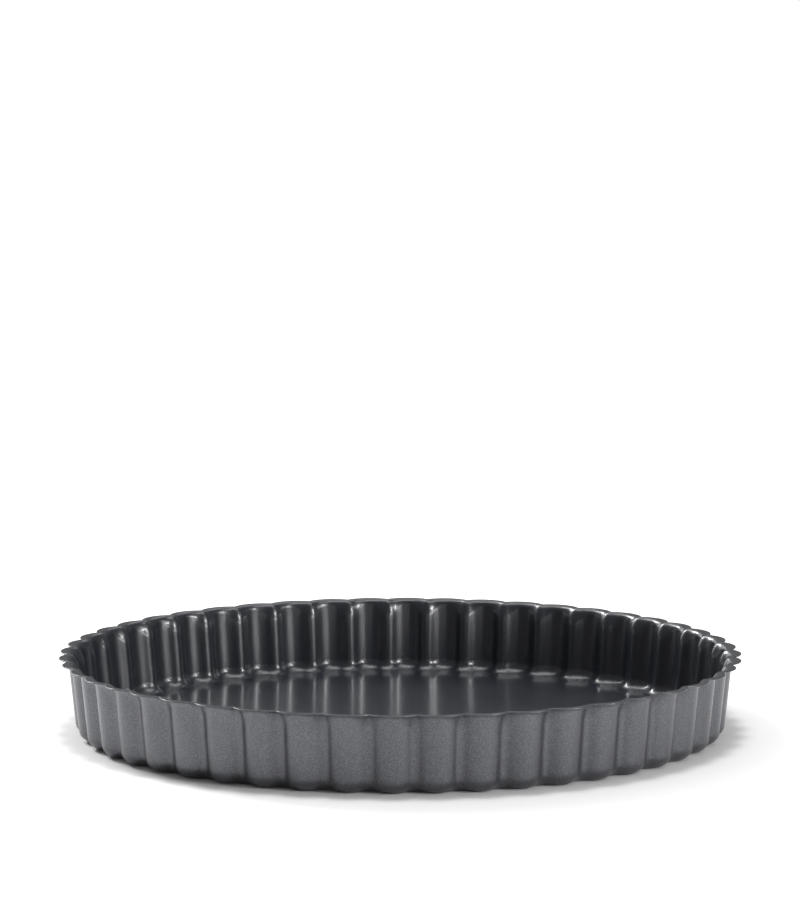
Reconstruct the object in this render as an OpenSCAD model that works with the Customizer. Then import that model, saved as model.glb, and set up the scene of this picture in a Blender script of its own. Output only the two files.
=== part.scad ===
// Fluted tart tin, pressed from one sheet of steel: a flat floor, a wall of round flutes
// that leans outward, and a narrow lip that follows the flutes.
// Millimetres, +Z up, origin at the middle of the underside. A flute's crest points along +X.

/* [Rim] */
// Diameter over the tips of the lip
rim_diameter = 296; // [260:1:330]
// Width of the lip, from the outside of the wall to its tip
lip_width = 4.3; // [3.8:0.1:6]
// Radius of the bend from the crest of a flute into the lip, on the outside
lip_bend = 2; // [1:0.1:3]
// Height of the wider bend from the groove between two flutes into the lip
groove_bend_height = 7; // [3:0.5:12]
// Width of that wider bend
groove_bend_width = 3.2; // [1:0.1:3.6]

/* [Wall] */
// Height of the tin
height = 33.5; // [24:0.5:60]
// Lean of the wall from upright, in degrees
wall_lean = 5.9; // [0:0.1:12]
// Radius of the bend from the wall into the floor, on the outside
floor_bend = 6; // [2:0.1:6.5]
// Thickness of the sheet
sheet = 0.6; // [0.4:0.05:0.9]

/* [Flutes] */
// Number of flutes around the wall
flute_count = 48; // [40:1:52]
// Depth of a flute, from its crest to the corner where two flutes would meet
flute_depth = 5.8; // [3:0.1:6.5]
// Radius that rounds this corner, on the outside
groove_round = 3.5; // [0.6:0.1:4.5]

/* [Hidden] */

// Straight steps in half a flute's arc, in half a groove and in the quarter bends
lobe_steps = 3;
groove_steps = 1;
lip_bend_steps = 2;
floor_bend_steps_outside = 3;
floor_bend_steps_inside = 2;
// Share of a flute's width that its arc takes, and how fast the bend widens beside the groove
lobe_share = 0.85;
widening = 4;
// Smallest radius that a groove keeps where the lip closes it
groove_min = 0.45;
steel = [0.40, 0.41, 0.44];

half_pitch = 180 / flute_count;
half_steps = lobe_steps + groove_steps;
crest_radius = rim_diameter / 2 - lip_width;
// Height at which the crest of a flute turns into the lip
lip_foot = height - sheet - lip_bend;

// The arc of a flute runs through its crest and the two corners beside it
corner_radius = crest_radius - flute_depth;
corner_rise = crest_radius - corner_radius * cos(half_pitch);
corner_side = corner_radius * sin(half_pitch);
lobe_radius = (corner_rise * corner_rise + corner_side * corner_side) / (2 * corner_rise);

// Point at an angle on a circle
function on_circle(middle, radius, angle) = middle + radius * [cos(angle), sin(angle)];

// Distance from the axis to the middle of a flute's arc. It grows with height up the leaning
// wall, and stays the same through the bends at its two ends.
function lobe_centre(z) =
    crest_radius - lobe_radius - (lip_foot - min(max(z, floor_bend), lip_foot)) * tan(wall_lean);

// Point i of half a flute in plan, from its crest along +X to the bottom of the groove beside
// it, at a height and at an offset outward from the outside of the wall. The flute's arc
// bulges outward, and the smaller arc of the groove meets it smoothly.
function half_flute_point(i, z, offset) =
    let (centre = lobe_centre(z),
         lobe = lobe_radius + offset,
         groove = max(groove_round - offset, groove_min),
         aside = centre * sin(half_pitch),
         reach = sqrt(pow(lobe + groove, 2) - aside * aside),
         valley = on_circle([0, 0], centre * cos(half_pitch) + reach, half_pitch),
         turn = atan2(valley[1], valley[0] - centre),
         groove_turn = (half_pitch - turn) * (i - lobe_steps) / groove_steps,
         point = i <= lobe_steps
            ? on_circle([centre, 0], lobe, turn * i / lobe_steps)
            : on_circle(valley, groove, 180 + turn + groove_turn))
    [point[0], point[1], z];

// How far point i lies across half a flute, from 0 at the crest to 1 at the groove
function across(i) =
    i <= lobe_steps
    ? lobe_share * i / lobe_steps
    : lobe_share + (1 - lobe_share) * (i - lobe_steps) / groove_steps;

// Points of a quarter bend as [height, offset] pairs, from the wall (0) to the flat (90)
function lip_arc(foot, rise, run, thickness, angles) =
    [for (a = angles) [foot + (rise + thickness) * sin(a), run - (run + thickness) * cos(a)]];
function floor_arc(radius, angles) =
    [for (a = angles) [floor_bend - radius * sin(a), radius * cos(a) - floor_bend]];
function quarter(steps) = [for (i = [0 : steps]) 90 * i / steps];
function quarter_back(steps) = [for (i = [steps : -1 : 0]) 90 * i / steps];

// The section through the sheet at point i of a flute: from the edge of the underside, up the
// outside, round the lip and down the inside to the edge of the floor. The bend into the lip
// is tight at the crest and widens towards the groove.
function sheet_section(i) =
    let (wide = pow(sin(90 * across(i)), widening),
         rise = lip_bend + (groove_bend_height - lip_bend) * wide,
         run = lip_bend + (groove_bend_width - lip_bend) * wide,
         foot = height - sheet - rise)
    concat(
        floor_arc(floor_bend, quarter_back(floor_bend_steps_outside)),
        lip_arc(foot, rise, run, 0, quarter(lip_bend_steps)),
        [[height - sheet, lip_width], [height, lip_width]],
        lip_arc(foot, rise, run, sheet, quarter_back(lip_bend_steps)),
        floor_arc(floor_bend - sheet, quarter(floor_bend_steps_inside)));

sections = [for (i = [0 : half_steps]) sheet_section(i)];

// A whole flute at one step of the section, from just past one groove to the next
function whole_flute(step) =
    let (half = [for (i = [0 : half_steps])
            half_flute_point(i, sections[i][step][0], sections[i][step][1])])
    concat([for (i = [half_steps - 1 : -1 : 1]) [half[i][0], -half[i][1], half[i][2]]], half);

// The ring of flutes at one step of the section
function flute_ring(step) =
    let (flute = whole_flute(step))
    [for (k = [0 : flute_count - 1], p = flute)
        let (turn = 2 * half_pitch * k)
        [p[0] * cos(turn) - p[1] * sin(turn), p[0] * sin(turn) + p[1] * cos(turn), p[2]]];

// The sheet as one closed skin: a ring of points for each step of its section, and the
// underside and the floor as flat faces
module fluted_sheet() {
    around = flute_count * 2 * half_steps;
    rings = len(sections[0]);
    last = (rings - 1) * around;
    points = [for (step = [0 : rings - 1], p = flute_ring(step)) p];
    sides = [for (row = [0 : around : last - 1], i = [0 : around - 1])
        let (next = (i + 1) % around, above = row + around)
        each [[row + i, above + i, above + next], [row + i, above + next, row + next]]];
    underside = [for (i = [0 : around - 1]) i];
    floor_top = [for (i = [around - 1 : -1 : 0]) last + i];
    polyhedron(points, concat([underside], sides, [floor_top]));
}

module tart_tin() {
    color(steel) fluted_sheet();
}

tart_tin();
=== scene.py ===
"""Looks of the fluted tart tin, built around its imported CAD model.

The tin is pressed from one sheet of steel: a flat floor, a wall of round flutes that leans
outward, and a narrow lip that follows the flutes. Its non-stick coating is near-black and
glossy inside, and satin blue-grey with a fine metallic fleck outside. The tin stands on a
plain white table in soft studio light.

Lengths are in millimetres in the classes that shape the tin, and in metres elsewhere. +Z
is up, the origin is the middle of the underside, and the camera looks roughly along +Y.
"""

from __future__ import annotations

import logging
import math
from dataclasses import dataclass, field
from enum import Enum

import bpy
import numpy as np
from mathutils import Matrix, Vector

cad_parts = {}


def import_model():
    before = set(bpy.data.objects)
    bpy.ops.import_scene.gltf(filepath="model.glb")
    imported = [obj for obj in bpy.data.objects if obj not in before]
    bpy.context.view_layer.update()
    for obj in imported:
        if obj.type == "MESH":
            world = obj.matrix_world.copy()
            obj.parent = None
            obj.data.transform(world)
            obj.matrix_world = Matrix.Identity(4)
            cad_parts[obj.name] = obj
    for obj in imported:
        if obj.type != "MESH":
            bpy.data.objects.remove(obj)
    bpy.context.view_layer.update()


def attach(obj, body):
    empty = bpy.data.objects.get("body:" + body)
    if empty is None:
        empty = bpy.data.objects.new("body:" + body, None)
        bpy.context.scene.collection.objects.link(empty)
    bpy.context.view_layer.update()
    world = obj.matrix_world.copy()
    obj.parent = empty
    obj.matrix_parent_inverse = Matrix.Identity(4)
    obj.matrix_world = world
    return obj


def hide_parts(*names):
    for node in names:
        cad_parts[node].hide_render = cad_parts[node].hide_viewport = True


LOG = logging.getLogger("tart_tin")

MM = 0.001
QUARTER = math.pi / 2
CAD_NODE = "tart_tin"
BODY = "root"


class Face(Enum):
    """Which coating a band of the sheet wears, as its material slot on the mesh."""

    INSIDE = 0
    OUTSIDE = 1


@dataclass(frozen=True)
class TinSizes:
    """Sizes of the tin, the same as in the CAD source, in millimetres and degrees.

    Attributes:
        rim_diameter: diameter over the tips of the lip.
        lip_width: from the outside of the wall to the lip's tip.
        lip_bend: radius of the bend from a flute's crest into the lip, on the outside.
        groove_bend_height: height of the wider bend from a groove into the lip.
        groove_bend_width: width of that wider bend.
        height: height of the tin.
        wall_lean: lean of the wall from upright.
        floor_bend: radius of the bend from the wall into the floor, on the outside.
        sheet: thickness of the sheet.
        flute_count: number of flutes around the wall.
        flute_depth: from a flute's crest to the corner where two flutes would meet.
        groove_round: radius that rounds this corner, on the outside.
        groove_min: smallest radius that a groove keeps where the lip closes it.
        lobe_share: share of a flute's width that its arc takes.
        widening: how fast the bend into the lip widens beside a groove.
    """

    rim_diameter: float = 296.0
    lip_width: float = 4.3
    lip_bend: float = 2.0
    groove_bend_height: float = 7.0
    groove_bend_width: float = 3.2
    height: float = 33.5
    wall_lean: float = 5.9
    floor_bend: float = 6.0
    sheet: float = 0.6
    flute_count: int = 48
    flute_depth: float = 5.8
    groove_round: float = 3.5
    groove_min: float = 0.45
    lobe_share: float = 0.85
    widening: float = 4.0

    @property
    def half_pitch(self) -> float:
        """Half the angle of a flute, in radians."""
        return math.pi / self.flute_count

    @property
    def crest_radius(self) -> float:
        """Radius of the crests under the lip."""
        return self.rim_diameter / 2 - self.lip_width

    @property
    def lip_foot(self) -> float:
        """Height at which the crest of a flute turns into the lip."""
        return self.height - self.sheet - self.lip_bend

    @property
    def lobe_radius(self) -> float:
        """Radius of a flute's arc, through its crest and the two corners beside it."""
        corner = self.crest_radius - self.flute_depth
        rise = self.crest_radius - corner * math.cos(self.half_pitch)
        side = corner * math.sin(self.half_pitch)
        return (rise * rise + side * side) / (2 * rise)


@dataclass(frozen=True)
class MeshDetail:
    """How finely the sheet is divided.

    Attributes:
        lobe_steps: steps in half a flute's arc.
        groove_steps: steps in half a groove's arc.
        floor_bend_steps: steps in the bend between floor and wall.
        wall_steps: steps up the straight wall.
        lip_bend_steps: steps in the bend between wall and lip.
        lip_steps: steps across the flat of the lip.
        edge_steps: rings around the lip's rounded edge.
        floor_rings: rings that fill the floor.
        underside_rings: rings that fill the underside.
    """

    lobe_steps: int = 8
    groove_steps: int = 3
    floor_bend_steps: int = 11
    wall_steps: int = 6
    lip_bend_steps: int = 10
    lip_steps: int = 3
    edge_steps: int = 5
    floor_rings: int = 12
    underside_rings: int = 4


@dataclass(frozen=True)
class FluteShifts:
    """How far the flutes stand in from the ring, unevenly as pressing leaves them.

    Attributes:
        most: most that a flute stands in, at the lip, in millimetres.
        seed: start of the random draws.
    """

    most: float = 0.10
    seed: int = 11


@dataclass(frozen=True)
class FloorWaves:
    """Slow waves in the pressed floor, which make its reflections uneven.

    A strong wave runs along x and y together, and a weak one along y. Each length is the
    distance in millimetres over which a wave turns by one radian, and starts are radians.

    Attributes:
        depth: depth of the strong wave, in millimetres.
        strong_x_length: length of the strong wave along x.
        strong_x_start: its start along x.
        strong_y_length: its length along y.
        weak_share: depth of the weak wave, as a share of the strong one's.
        weak_length: length of the weak wave.
        weak_start: its start.
    """

    depth: float = 0.03
    strong_x_length: float = 31.0
    strong_x_start: float = 0.7
    strong_y_length: float = 27.0
    weak_share: float = 0.6
    weak_length: float = 17.0
    weak_start: float = 1.9

    def form(self, plan: np.ndarray) -> np.ndarray:
        """Form of the waves together, before their depth.

        Args:
            plan: (x, y) rows, in millimetres.

        Returns:
            One number for each row, between about -1.6 and 1.6.
        """
        x, y = plan[:, 0], plan[:, 1]
        strong_x = np.sin(x / self.strong_x_length + self.strong_x_start)
        strong_y = np.cos(y / self.strong_y_length)
        weak = np.sin(y / self.weak_length + self.weak_start)
        return strong_x * strong_y + self.weak_share * weak


@dataclass(frozen=True)
class FlatRings:
    """Where the rings that fill a flat face lie, as shares of the way to its middle.

    Attributes:
        beside_edge: the first rings, close to the scalloped edge.
        first_even: the first of the evenly spaced rings that follow.
        last_even: the last of them, beside the middle point.
        round_from: share from which the rings are plain circles.
        waves_from: share from which the slow waves have their full depth.
    """

    beside_edge: tuple[float, ...] = (0.006, 0.03)
    first_even: float = 0.08
    last_even: float = 0.985
    round_from: float = 0.15
    waves_from: float = 0.2

    def shares(self, count: int) -> np.ndarray:
        """Places of the rings.

        Args:
            count: number of rings.

        Returns:
            A share for each ring, from the edge inward.
        """
        even_count = count - len(self.beside_edge)
        even = np.linspace(self.first_even, self.last_even, even_count)
        return np.concatenate([self.beside_edge, even])


class FlutedPlan:
    """The outline of the wall in plan at any height and offset."""

    def __init__(self, sizes: TinSizes, detail: MeshDetail) -> None:
        """Prepares the steps across half a flute.

        Args:
            sizes: the tin's sizes.
            detail: how finely the sheet is divided.
        """
        self.sizes = sizes
        self.lobe_part = np.linspace(0.0, 1.0, detail.lobe_steps + 1)
        self.groove_part = np.linspace(0.0, 1.0, detail.groove_steps + 1)[1:]
        lobe_across = sizes.lobe_share * self.lobe_part
        groove_across = sizes.lobe_share + (1 - sizes.lobe_share) * self.groove_part
        self.across = np.concatenate([lobe_across, groove_across])

    @property
    def points_around(self) -> int:
        """Number of points in a whole ring."""
        points_a_flute = 2 * (len(self.across) - 1)
        return self.sizes.flute_count * points_a_flute

    def lobe_centre(self, height: np.ndarray) -> np.ndarray:
        """Distance from the axis to the middle of a flute's arc.

        Args:
            height: heights of the points.

        Returns:
            One distance for each height. It grows up the leaning wall, and stays the
            same through the bends at its two ends.
        """
        s = self.sizes
        up = np.clip(height, s.floor_bend, s.lip_foot)
        lean = math.tan(math.radians(s.wall_lean))
        return s.crest_radius - s.lobe_radius - (s.lip_foot - up) * lean

    def half_flute(self, height: np.ndarray, offset: np.ndarray) -> np.ndarray:
        """Points from a flute's crest to the bottom of the groove beside it.

        Args:
            height: height of each point.
            offset: offset of each point outward from the outside of the wall.

        Returns:
            An array of (x, y) rows, in millimetres.
        """
        s = self.sizes
        half = s.half_pitch
        centre = self.lobe_centre(height)
        lobe = s.lobe_radius + offset
        groove = np.maximum(s.groove_round - offset, s.groove_min)
        aside = centre * math.sin(half)
        reach = centre * math.cos(half) + np.sqrt((lobe + groove) ** 2 - aside**2)
        valley = np.stack([reach * math.cos(half), reach * math.sin(half)], axis=1)
        turn = np.arctan2(valley[:, 1], valley[:, 0] - centre)

        lobes = len(self.lobe_part)
        angle = turn[:lobes] * self.lobe_part
        lobe_x = centre[:lobes] + lobe[:lobes] * np.cos(angle)
        lobe_y = lobe[:lobes] * np.sin(angle)
        on_lobe = np.stack([lobe_x, lobe_y], axis=1)

        angle = math.pi + turn[lobes:] + (half - turn[lobes:]) * self.groove_part
        around = np.stack([np.cos(angle), np.sin(angle)], axis=1)
        on_groove = valley[lobes:] + groove[lobes:, None] * around
        return np.concatenate([on_lobe, on_groove])

    def ring(self, height: np.ndarray, offset: np.ndarray) -> np.ndarray:
        """A whole ring of flutes at one step of the sheet's section.

        Args:
            height: height of each point of half a flute.
            offset: offset of each point of half a flute.

        Returns:
            An array of (x, y, z) rows, in millimetres.
        """
        half = self.half_flute(height, offset)
        mirrored = half[-2:0:-1] * (1, -1)
        flute = np.concatenate([mirrored, half])
        rise = np.concatenate([height[-2:0:-1], height])
        turns = 2 * self.sizes.half_pitch * np.arange(self.sizes.flute_count)
        cos, sin = np.cos(turns)[:, None], np.sin(turns)[:, None]
        x = cos * flute[:, 0] - sin * flute[:, 1]
        y = sin * flute[:, 0] + cos * flute[:, 1]
        z = np.broadcast_to(rise, x.shape)
        return np.stack([x.ravel(), y.ravel(), z.ravel()], axis=1)


class SheetSection:
    """The section through the sheet, as one step after another around it.

    Each step is a pair of arrays, the height and the offset outward from the outside of
    the wall, with one number for each point across half a flute.
    """

    def __init__(self, sizes: TinSizes, detail: MeshDetail, across: np.ndarray) -> None:
        """Works out the bend into the lip at each point across half a flute.

        Args:
            sizes: the tin's sizes.
            detail: how finely the sheet is divided.
            across: how far each point lies from the crest (0) to the groove (1).
        """
        self.sizes = sizes
        self.detail = detail
        wide = np.sin(QUARTER * across) ** sizes.widening
        self.rise = sizes.lip_bend + (sizes.groove_bend_height - sizes.lip_bend) * wide
        self.run = sizes.lip_bend + (sizes.groove_bend_width - sizes.lip_bend) * wide
        self.foot = sizes.height - sizes.sheet - self.rise
        self.flat = np.ones_like(across)

    def floor_arc(self, thickness: float, angles: np.ndarray) -> list[tuple]:
        """Steps of the bend between floor and wall.

        Args:
            thickness: 0 on the outside face and the sheet's thickness on the inside.
            angles: from 0 at the wall to a quarter turn at the floor.

        Returns:
            A step for each angle.
        """
        bend = self.sizes.floor_bend
        radius = bend - thickness
        return [
            (
                self.flat * (bend - radius * math.sin(a)),
                self.flat * (radius * math.cos(a) - bend),
            )
            for a in angles
        ]

    def lip_arc(self, thickness: float, angles: np.ndarray) -> list[tuple]:
        """Steps of the bend between wall and lip.

        Args:
            thickness: 0 on the outside face and the sheet's thickness on the inside.
            angles: from 0 at the wall to a quarter turn at the lip.

        Returns:
            A step for each angle.
        """
        return [
            (
                self.foot + (self.rise + thickness) * math.sin(a),
                self.run - (self.run + thickness) * math.cos(a),
            )
            for a in angles
        ]

    def outside(self) -> list[tuple]:
        """Steps of the outside face, from the underside's edge to the lip's edge."""
        s, d = self.sizes, self.detail
        edge = s.lip_width - s.sheet / 2
        steps = self.floor_arc(0, np.linspace(QUARTER, 0, d.floor_bend_steps + 1))
        for part in np.linspace(0, 1, d.wall_steps + 1)[1:-1]:
            height = s.floor_bend + (self.foot - s.floor_bend) * part
            steps.append((height, 0 * self.flat))
        steps += self.lip_arc(0, np.linspace(0, QUARTER, d.lip_bend_steps + 1))
        for part in np.linspace(0, 1, d.lip_steps + 1)[1:]:
            offset = self.run + (edge - self.run) * part
            steps.append((self.flat * (s.height - s.sheet), offset))
        return steps

    def edge(self) -> list[tuple]:
        """Steps of the lip's rounded edge, from below to above."""
        s = self.sizes
        round_by = s.sheet / 2
        angles = np.linspace(-QUARTER, QUARTER, self.detail.edge_steps + 2)[1:-1]
        return [
            (
                self.flat * (s.height - round_by + round_by * math.sin(a)),
                self.flat * (s.lip_width - round_by + round_by * math.cos(a)),
            )
            for a in angles
        ]

    def inside(self) -> list[tuple]:
        """Steps of the inside face, from the lip's edge to the floor's edge."""
        s, d = self.sizes, self.detail
        edge = s.lip_width - s.sheet / 2
        steps = []
        for part in np.linspace(0, 1, d.lip_steps + 1)[:-1]:
            steps.append((self.flat * s.height, edge + (self.run - edge) * part))
        steps += self.lip_arc(s.sheet, np.linspace(QUARTER, 0, d.lip_bend_steps + 1))
        for part in np.linspace(0, 1, d.wall_steps + 1)[1:-1]:
            height = self.foot + (s.floor_bend - self.foot) * part
            steps.append((height, -s.sheet * self.flat))
        steps += self.floor_arc(s.sheet, np.linspace(0, QUARTER, d.floor_bend_steps + 1))
        return steps


@dataclass
class TartTin:
    """The whole tin, pressed from one sheet of coated steel."""

    sizes: TinSizes = field(default_factory=TinSizes)
    detail: MeshDetail = field(default_factory=MeshDetail)
    shifts: FluteShifts = field(default_factory=FluteShifts)
    waves: FloorWaves = field(default_factory=FloorWaves)
    flat_rings: FlatRings = field(default_factory=FlatRings)
    name: str = "tart_tin_sheet"

    def shift_rings(self, rings: list[np.ndarray]) -> None:
        """Moves some flutes a little in, more and more towards the lip.

        Args:
            rings: the rings of points, changed in place.
        """
        draws = np.random.default_rng(self.shifts.seed)
        count = self.sizes.flute_count
        low = draws.uniform(-1, 1, count)
        high = draws.uniform(-1, 1, count)
        for ring in rings:
            angle = np.arctan2(ring[:, 1], ring[:, 0]) / (2 * self.sizes.half_pitch)
            first = np.floor(angle).astype(int)
            part = angle - first
            part = part * part * (3 - 2 * part)
            up = np.clip(ring[:, 2] / self.sizes.height, 0, 1)
            here = low[first % count] * (1 - up) + high[first % count] * up
            after = (first + 1) % count
            there = low[after] * (1 - up) + high[after] * up
            shift = self.shifts.most * (here * (1 - part) + there * part) * up
            inward = np.maximum(shift, 0)
            radius = np.hypot(ring[:, 0], ring[:, 1])
            ring[:, :2] *= (1 - inward / radius)[:, None]

    def fill_face(self, edge: np.ndarray, count: int, depth: float) -> list[np.ndarray]:
        """Rings that fill a flat face, from its scalloped edge to near the middle.

        Args:
            edge: the last ring of the bend around the face.
            count: number of rings.
            depth: depth of the slow waves in the face, in millimetres.

        Returns:
            Rings of (x, y, z) points, in millimetres, from the edge inward.
        """
        radius = np.hypot(edge[:, 0], edge[:, 1])
        away = edge[:, :2] / radius[:, None]
        inner = radius.min()
        rings = []
        for share in self.flat_rings.shares(count):
            round_by = min(1.0, share / self.flat_rings.round_from)
            base = radius * (1 - round_by) + inner * round_by
            plan = away * (base * (1 - share))[:, None]
            fade = min(1.0, share / self.flat_rings.waves_from)
            height = edge[:, 2] + depth * fade * self.waves.form(plan)
            rings.append(np.column_stack([plan, height]))
        return rings

    @staticmethod
    def skin_faces(ring_count: int, around: int) -> list[tuple[int, ...]]:
        """Faces of a closed skin, whose two middle points come after all its rings.

        Args:
            ring_count: number of rings.
            around: number of points in each ring.

        Returns:
            The faces between the rings, then the fan at each end.
        """
        here = np.arange(around)
        after = (here + 1) % around
        last = (ring_count - 1) * around
        quads = [
            np.stack([k + here, k + after, k + around + after, k + around + here], 1)
            for k in range(0, last, around)
        ]
        faces = [tuple(row) for row in np.concatenate(quads).tolist()]
        low_middle = ring_count * around
        high_middle = low_middle + 1
        for a, b in zip(here.tolist(), after.tolist()):
            faces.append((low_middle, b, a))
        for a, b in zip(here.tolist(), after.tolist()):
            faces.append((high_middle, last + a, last + b))
        return faces

    def build_mesh(self) -> bpy.types.Mesh:
        """Builds the closed skin of the sheet.

        Returns:
            A smooth-shaded mesh in metres, with a material slot number on each face.
        """
        plan = FlutedPlan(self.sizes, self.detail)
        section = SheetSection(self.sizes, self.detail, plan.across)
        outside = [plan.ring(*step) for step in section.outside()]
        edge = [plan.ring(*step) for step in section.edge()]
        inside = [plan.ring(*step) for step in section.inside()]
        self.shift_rings(outside + edge + inside)
        below = self.fill_face(outside[0], self.detail.underside_rings, 0.0)
        above = self.fill_face(inside[-1], self.detail.floor_rings, self.waves.depth)
        rings = below[::-1] + outside + edge + inside + above
        middles = [[0, 0, ring[:, 2].mean()] for ring in (below[-1], above[-1])]
        points = np.concatenate([*rings, middles]) * MM

        around = plan.points_around
        mesh = bpy.data.meshes.new(self.name)
        mesh.from_pydata(points.tolist(), [], self.skin_faces(len(rings), around))

        # The underside's fan is the last but one lot of faces
        outer_bands = len(below) + len(outside) + len(edge) // 2
        slots = np.full(len(mesh.polygons), Face.INSIDE.value, np.int32)
        slots[: outer_bands * around] = Face.OUTSIDE.value
        slots[-2 * around : -around] = Face.OUTSIDE.value
        mesh.polygons.foreach_set("material_index", slots)
        mesh.polygons.foreach_set("use_smooth", np.ones(len(mesh.polygons), bool))
        mesh.update()
        return mesh

    def make(self, inside: bpy.types.Material, outside: bpy.types.Material) -> None:
        """Makes the tin's object, dresses it and lets it stand for the CAD node.

        Args:
            inside: coating of the inside face.
            outside: coating of the outside face.
        """
        mesh = self.build_mesh()
        mesh.materials.append(inside)
        mesh.materials.append(outside)
        tin = bpy.data.objects.new(self.name, mesh)
        bpy.context.scene.collection.objects.link(tin)
        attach(tin, BODY)
        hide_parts(CAD_NODE)
        points, faces = len(mesh.vertices), len(mesh.polygons)
        LOG.info("%s: %d points, %d faces", self.name, points, faces)


@dataclass(frozen=True)
class CoatingLook:
    """How a non-stick coating looks.

    Attributes:
        name: name of the material.
        colour: colour of the coating between its flecks.
        fleck_colour: colour of the brightest flecks.
        fleck_size: distance between flecks, in metres.
        roughness: lowest and highest roughness.
        metallic: share of metal in the shader.
        specular: specular level.
        coat: weight of the clear coat over it.
        coat_roughness: roughness of that coat.
        grain_depth: depth of the coating's fine grain, in metres.
        grain_size: width of that grain, in metres.
    """

    name: str
    colour: tuple[float, float, float]
    fleck_colour: tuple[float, float, float]
    fleck_size: float
    roughness: tuple[float, float]
    metallic: float
    specular: float
    coat: float
    coat_roughness: float
    grain_depth: float
    grain_size: float


INSIDE_LOOK = CoatingLook(
    name="coating_inside",
    colour=(0.0055, 0.0072, 0.0125),
    fleck_colour=(0.016, 0.0185, 0.027),
    fleck_size=0.0003,
    roughness=(0.32, 0.38),
    metallic=0.0,
    specular=0.8,
    coat=0.8,
    coat_roughness=0.15,
    grain_depth=0.000004,
    grain_size=0.0012,
)
OUTSIDE_LOOK = CoatingLook(
    name="coating_outside",
    colour=(0.096, 0.098, 0.109),
    fleck_colour=(0.175, 0.179, 0.197),
    fleck_size=0.0006,
    roughness=(0.42, 0.54),
    metallic=1.0,
    specular=0.5,
    coat=0.6,
    coat_roughness=0.3,
    grain_depth=0.000006,
    grain_size=0.0009,
)


@dataclass(frozen=True)
class Coating:
    """A procedural material for one face of the sheet.

    Attributes:
        look: how the coating looks.
        fleck_detail: octaves of finer noise in the flecks.
        fleck_range: noise at which a fleck begins, and at which it is brightest.
        gloss_scale: patches of more or less gloss to a metre.
        gloss_detail: octaves of finer noise in them.
        gloss_range: noise at which the roughness is lowest, and at which it is highest.
        grain_detail: octaves of finer noise in the grain.
    """

    look: CoatingLook
    fleck_detail: float = 1.5
    fleck_range: tuple[float, float] = (0.42, 0.86)
    gloss_scale: float = 22.0
    gloss_detail: float = 3.0
    gloss_range: tuple[float, float] = (0.3, 0.7)
    grain_detail: float = 2.0

    def make(self) -> bpy.types.Material:
        """Builds the material from its look.

        Returns:
            A material with flecks, uneven gloss and a fine grain.
        """
        look = self.look
        material = bpy.data.materials.new(look.name)
        material.use_nodes = True
        tree = material.node_tree
        shader = tree.nodes["Principled BSDF"]
        shader.inputs["Metallic"].default_value = look.metallic
        shader.inputs["Specular IOR Level"].default_value = look.specular
        shader.inputs["Coat Weight"].default_value = look.coat
        shader.inputs["Coat Roughness"].default_value = look.coat_roughness
        shader.inputs["Base Color"].default_value = (*look.colour, 1)
        place = tree.nodes.new("ShaderNodeTexCoord").outputs["Object"]

        flecks = self.noise(tree, place, 1 / look.fleck_size, self.fleck_detail)
        colours = tree.nodes.new("ShaderNodeValToRGB")
        between, brightest = colours.color_ramp.elements
        between.position, brightest.position = self.fleck_range
        between.color = (*look.colour, 1)
        brightest.color = (*look.fleck_colour, 1)
        tree.links.new(flecks, colours.inputs["Fac"])
        tree.links.new(colours.outputs["Color"], shader.inputs["Base Color"])

        patches = self.noise(tree, place, self.gloss_scale, self.gloss_detail)
        gloss = tree.nodes.new("ShaderNodeMapRange")
        gloss.inputs["From Min"].default_value = self.gloss_range[0]
        gloss.inputs["From Max"].default_value = self.gloss_range[1]
        gloss.inputs["To Min"].default_value = look.roughness[0]
        gloss.inputs["To Max"].default_value = look.roughness[1]
        tree.links.new(patches, gloss.inputs["Value"])
        tree.links.new(gloss.outputs["Result"], shader.inputs["Roughness"])

        grain = self.noise(tree, place, 1 / look.grain_size, self.grain_detail)
        bump = tree.nodes.new("ShaderNodeBump")
        bump.inputs["Strength"].default_value = 1.0
        bump.inputs["Distance"].default_value = look.grain_depth
        tree.links.new(grain, bump.inputs["Height"])
        tree.links.new(bump.outputs["Normal"], shader.inputs["Normal"])
        LOG.info("%s: procedural coating", look.name)
        return material

    @staticmethod
    def noise(
        tree: bpy.types.NodeTree,
        place: bpy.types.NodeSocket,
        scale: float,
        detail: float,
    ) -> bpy.types.NodeSocket:
        """Adds a noise texture.

        Args:
            tree: the material's node tree.
            place: socket that gives the place on the object.
            scale: cells to a metre.
            detail: octaves of finer noise.

        Returns:
            The noise's value, about 0.5 in the middle.
        """
        noise = tree.nodes.new("ShaderNodeTexNoise")
        noise.inputs["Scale"].default_value = scale
        noise.inputs["Detail"].default_value = detail
        tree.links.new(place, noise.inputs["Vector"])
        return noise.outputs["Fac"]


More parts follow.
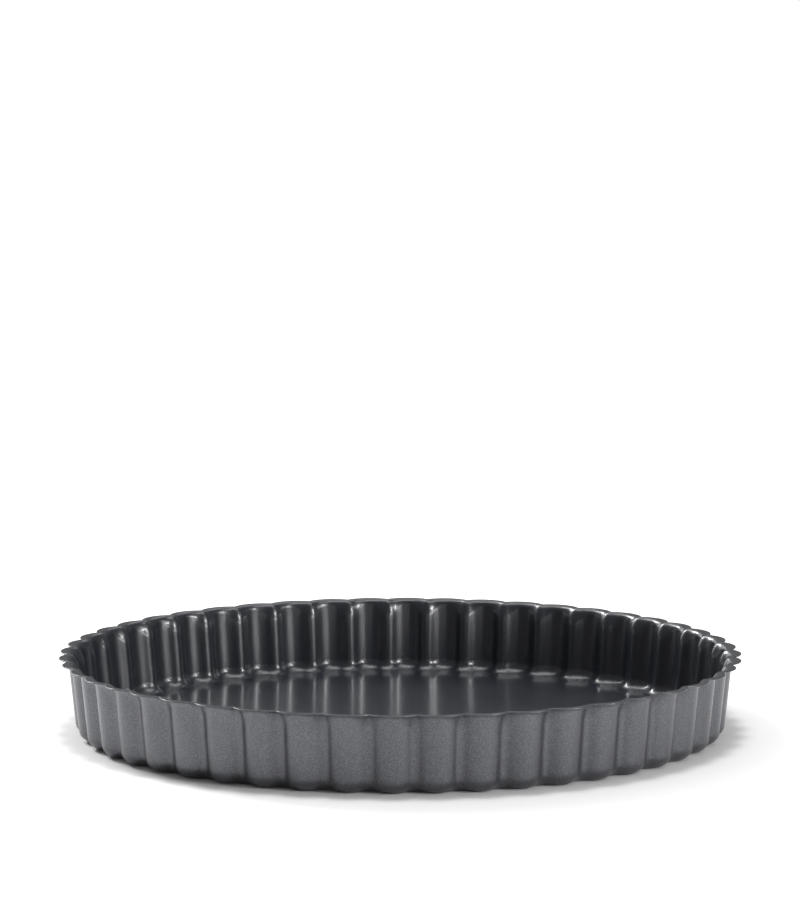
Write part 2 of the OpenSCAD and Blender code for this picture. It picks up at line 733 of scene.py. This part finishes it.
@dataclass(frozen=True)
class Softbox:
    """A rectangular studio light that faces the tin.

    Attributes:
        name: name of the light.
        azimuth: direction from the tin in degrees, 0 at the camera and 90 at its right.
        elevation: height above the table in degrees.
        width: width in degrees as the tin sees it.
        height: height in degrees as the tin sees it.
        brightness: radiance of its face.
        distance: metres from the tin.
        in_gloss: whether it shows in gloss. One that doesn't is like a polarised light,
            and only fills.
    """

    name: str
    azimuth: float
    elevation: float
    width: float
    height: float
    brightness: float
    distance: float = 2.4
    in_gloss: bool = True

    def span(self, degrees: float) -> float:
        """Length of a side that the tin sees at some angle.

        Args:
            degrees: that angle.

        Returns:
            The length in metres.
        """
        return 2 * self.distance * math.tan(math.radians(degrees) / 2)

    def make(self) -> None:
        """Makes the area light, which the camera itself doesn't see."""
        side, up = math.radians(self.azimuth), math.radians(self.elevation)
        level = math.cos(up)
        towards = Vector((math.sin(side) * level, -math.cos(side) * level, math.sin(up)))
        light = bpy.data.lights.new(self.name, "AREA")
        light.shape = "RECTANGLE"
        light.size, light.size_y = self.span(self.width), self.span(self.height)
        light.energy = self.brightness * light.size * light.size_y * math.pi
        lamp = bpy.data.objects.new(self.name, light)
        bpy.context.scene.collection.objects.link(lamp)
        lamp.location = towards * self.distance
        lamp.rotation_euler = (-towards).to_track_quat("-Z", "Y").to_euler()
        lamp.visible_camera = False
        lamp.visible_glossy = self.in_gloss
        LOG.info("%s: light", self.name)


# Each light's name, azimuth, elevation, width, height and brightness
SOFTBOXES = (
    Softbox("right_front_low", 52, 8, 34, 7, 8),
    Softbox("right_front_middle", 60, 21, 8, 8, 24),
    Softbox("right_front_upper", 54, 29, 8, 8, 26),
    Softbox("right_upper", 75, 27, 17, 6, 4.5),
    Softbox("back_left_key", 225, 33, 15, 18, 14),
    Softbox("back_left_top", 225, 50, 15, 14, 6),
    Softbox("back_left_low", 215, 12, 30, 12, 1.2),
    Softbox("back", 170, 38, 36, 12, 0.8),
    Softbox("back_top", 170, 51, 36, 13, 1.6),
    Softbox("overhead_right", 75, 66, 24, 16, 2.6),
    Softbox("overhead_left", 240, 66, 24, 16, 2),
    Softbox("left_low", 262, 3, 30, 6, 1.2),
    Softbox("front_low", 6, 6, 40, 9, 0.6),
    Softbox("overhead", 0, 89.9, 28, 28, 2.4),
    Softbox("overhead_fill", 0, 89.9, 12, 12, 26, in_gloss=False),
    Softbox("back_left_fill", 225, 35, 15, 18, 19, in_gloss=False),
)


@dataclass(frozen=True)
class Studio:
    """The plain white table, the white room around it and the lights.

    Attributes:
        table_radius: radius of the round table top, in metres.
        table_sides: number of straight sides that its edge is made of.
        table_drop: how far it lies below the tin in metres, so that the two flat faces
            don't flicker through each other.
        table_colour: its colour.
        table_roughness: its roughness.
        table_specular: its specular level.
        room_brightness: brightness of the room as it lights the scene.
        seen_brightness: brightness of the room as the camera sees it.
        boxes: the lights.
    """

    table_radius: float = 1.1
    table_sides: int = 96
    table_drop: float = 0.00005
    table_colour: tuple[float, float, float] = (0.9, 0.9, 0.9)
    table_roughness: float = 0.8
    table_specular: float = 0.2
    room_brightness: float = 0.17
    seen_brightness: float = 1.0
    boxes: tuple[Softbox, ...] = SOFTBOXES

    def make(self) -> None:
        """Makes the table, the room's light and the softboxes."""
        self.make_table()
        self.make_room()
        for box in self.boxes:
            box.make()

    def make_table(self) -> None:
        """Makes the table top."""
        mesh = bpy.data.meshes.new("table_top")
        turns = np.linspace(0, 2 * math.pi, self.table_sides, endpoint=False)
        reach = self.table_radius
        rim = [(reach * math.cos(a), reach * math.sin(a), 0) for a in turns]
        mesh.from_pydata(rim, [], [tuple(range(len(rim)))])
        table = bpy.data.objects.new("table_top", mesh)
        table.location.z = -self.table_drop
        bpy.context.scene.collection.objects.link(table)
        material = bpy.data.materials.new("white_table")
        material.use_nodes = True
        shader = material.node_tree.nodes["Principled BSDF"]
        shader.inputs["Base Color"].default_value = (*self.table_colour, 1)
        shader.inputs["Roughness"].default_value = self.table_roughness
        shader.inputs["Specular IOR Level"].default_value = self.table_specular
        mesh.materials.append(material)

    def make_room(self) -> None:
        """Makes the even light of the white room, which the camera sees as plain white."""
        world = bpy.data.worlds.new("studio_room")
        bpy.context.scene.world = world
        world.use_nodes = True
        tree = world.node_tree
        background = tree.nodes["Background"]
        background.inputs["Color"].default_value = (1, 1, 1, 1)
        ray = tree.nodes.new("ShaderNodeLightPath")
        pick = tree.nodes.new("ShaderNodeMix")
        pick.data_type = "FLOAT"
        tree.links.new(ray.outputs["Is Camera Ray"], pick.inputs["Factor"])
        # Sockets 2 and 3 are the two numbers that a float mix picks from
        pick.inputs[2].default_value = self.room_brightness
        pick.inputs[3].default_value = self.seen_brightness
        tree.links.new(pick.outputs[0], background.inputs["Strength"])


@dataclass(frozen=True)
class PhotoCamera:
    """The camera at the photograph's angle, for a frame of 800 by 909 pixels.

    Attributes:
        distance: metres from the middle of the rim.
        elevation: degrees that the line to the middle of the rim looks down.
        turn: degrees that the camera stands to the left of the line through a crest.
        pixels_a_metre: pixels that a metre takes in the frame, at the rim's middle.
        aim_right: pixels from the frame's middle to the rim's middle, to the right.
        aim_down: pixels from the frame's middle to the rim's middle, downward.
        sensor: length of the sensor's longer side in millimetres.
        frame_height: height of the frame in pixels, its longer side.
        clip: nearest and farthest that the camera sees, in metres.
    """

    distance: float = 1.595
    elevation: float = 9.978
    turn: float = -1.33
    pixels_a_metre: float = 2296.9
    aim_right: float = 0.40
    aim_down: float = 197.02
    sensor: float = 36.0
    frame_height: float = 909.0
    clip: tuple[float, float] = (0.05, 100.0)

    def make(self, rim_height: float) -> None:
        """Makes the camera and gives it to the scene.

        Args:
            rim_height: height of the rim in metres.
        """
        down, side = math.radians(self.elevation), math.radians(self.turn)
        level = math.cos(down)
        away = Vector((-level * math.sin(side), -level * math.cos(side), math.sin(down)))
        target = Vector((0, 0, rim_height))
        place = target + away * self.distance
        ahead = (target - place).normalized()
        right = ahead.cross(Vector((0, 0, 1))).normalized()
        up = right.cross(ahead)

        # The camera tilts up and pans left, so that the rim's middle shows where it should
        focal_pixels = self.pixels_a_metre * self.distance
        tilt = math.atan2(self.aim_down, focal_pixels)
        pan = math.atan2(self.aim_right, focal_pixels)
        tilted = ahead * math.cos(tilt) + up * math.sin(tilt)
        top = -ahead * math.sin(tilt) + up * math.cos(tilt)
        view = tilted * math.cos(pan) - right * math.sin(pan)
        aside = right * math.cos(pan) + tilted * math.sin(pan)

        lens = bpy.data.cameras.new("photo_camera")
        lens.sensor_fit = "AUTO"
        lens.sensor_width = self.sensor
        lens.lens = focal_pixels / self.frame_height * self.sensor
        lens.clip_start, lens.clip_end = self.clip
        camera = bpy.data.objects.new("photo_camera", lens)
        bpy.context.scene.collection.objects.link(camera)
        facing = Matrix((aside, top, -view)).transposed().to_4x4()
        camera.matrix_world = Matrix.Translation(place) @ facing
        bpy.context.scene.camera = camera


def main() -> None:
    """Builds the tin, its looks, the studio and the camera."""
    logging.basicConfig(level=logging.INFO, format="%(name)s: %(message)s")
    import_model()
    tin = TartTin()
    PhotoCamera().make(tin.sizes.height * MM)
    tin.make(Coating(INSIDE_LOOK).make(), Coating(OUTSIDE_LOOK).make())
    Studio().make()
    bpy.context.scene.view_settings.view_transform = "Standard"


if __name__ == "__main__":
    main()
